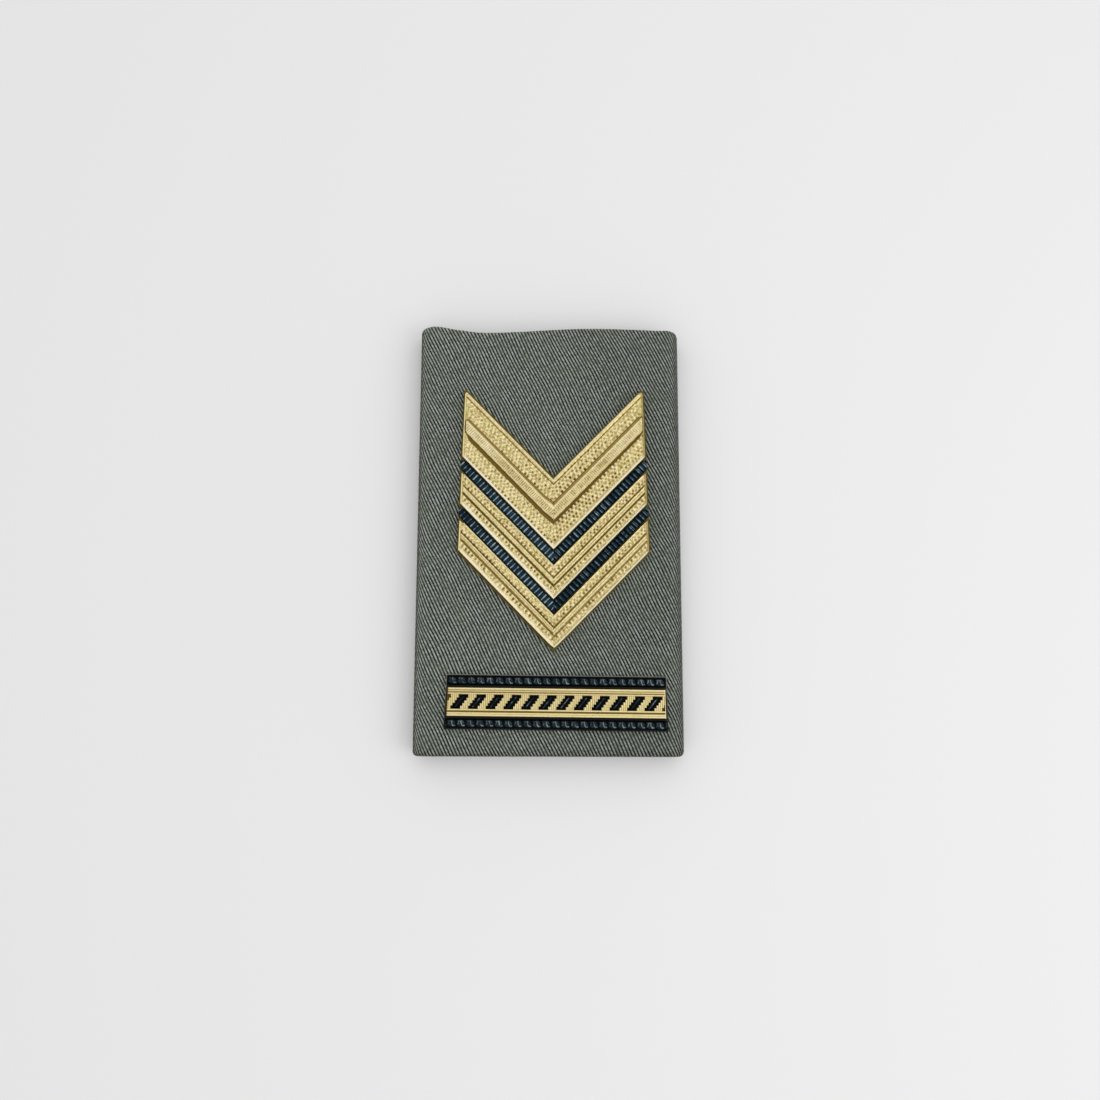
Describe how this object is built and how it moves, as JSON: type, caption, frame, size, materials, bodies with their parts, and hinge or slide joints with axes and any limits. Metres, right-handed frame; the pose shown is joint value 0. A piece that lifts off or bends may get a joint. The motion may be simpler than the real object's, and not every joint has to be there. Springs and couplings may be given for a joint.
{
  "type": "rank slide",
  "caption": "Flat cloth sleeve for a shoulder strap, its front set with a struck gilt badge of nested chevrons with black ribbed bands and a gilt bar with black slashes.",
  "frame": {"origin": "on the resting face, under the middle of the slide", "axes": "+Z out of the front that carries the badges, +Y towards the collar end, +X to the right as the front is seen"},
  "size_m": [0.0608, 0.0994, 0.0088],
  "materials": {
    "cloth": "grey-green steep twill, matt",
    "gilt_metal": "pale satin gilt",
    "black_enamel": "blue-black satin enamel"
  },
  "bodies": {
    "root": {"sleeve": "cloth", "chevron_badge": "gilt_metal", "bar_badge": "gilt_metal", "chevron_band_upper": "black_enamel", "chevron_band_lower": "black_enamel", "bar_strip_upper": "black_enamel", "bar_strip_lower": "black_enamel", "bar_slash_1": "black_enamel", "bar_slash_2": "black_enamel", "bar_slash_3": "black_enamel", "bar_slash_4": "black_enamel", "bar_slash_5": "black_enamel", "bar_slash_6": "black_enamel", "bar_slash_7": "black_enamel", "bar_slash_8": "black_enamel", "bar_slash_9": "black_enamel", "bar_slash_10": "black_enamel", "bar_slash_11": "black_enamel", "bar_slash_12": "black_enamel"}
  },
  "joints": []
}
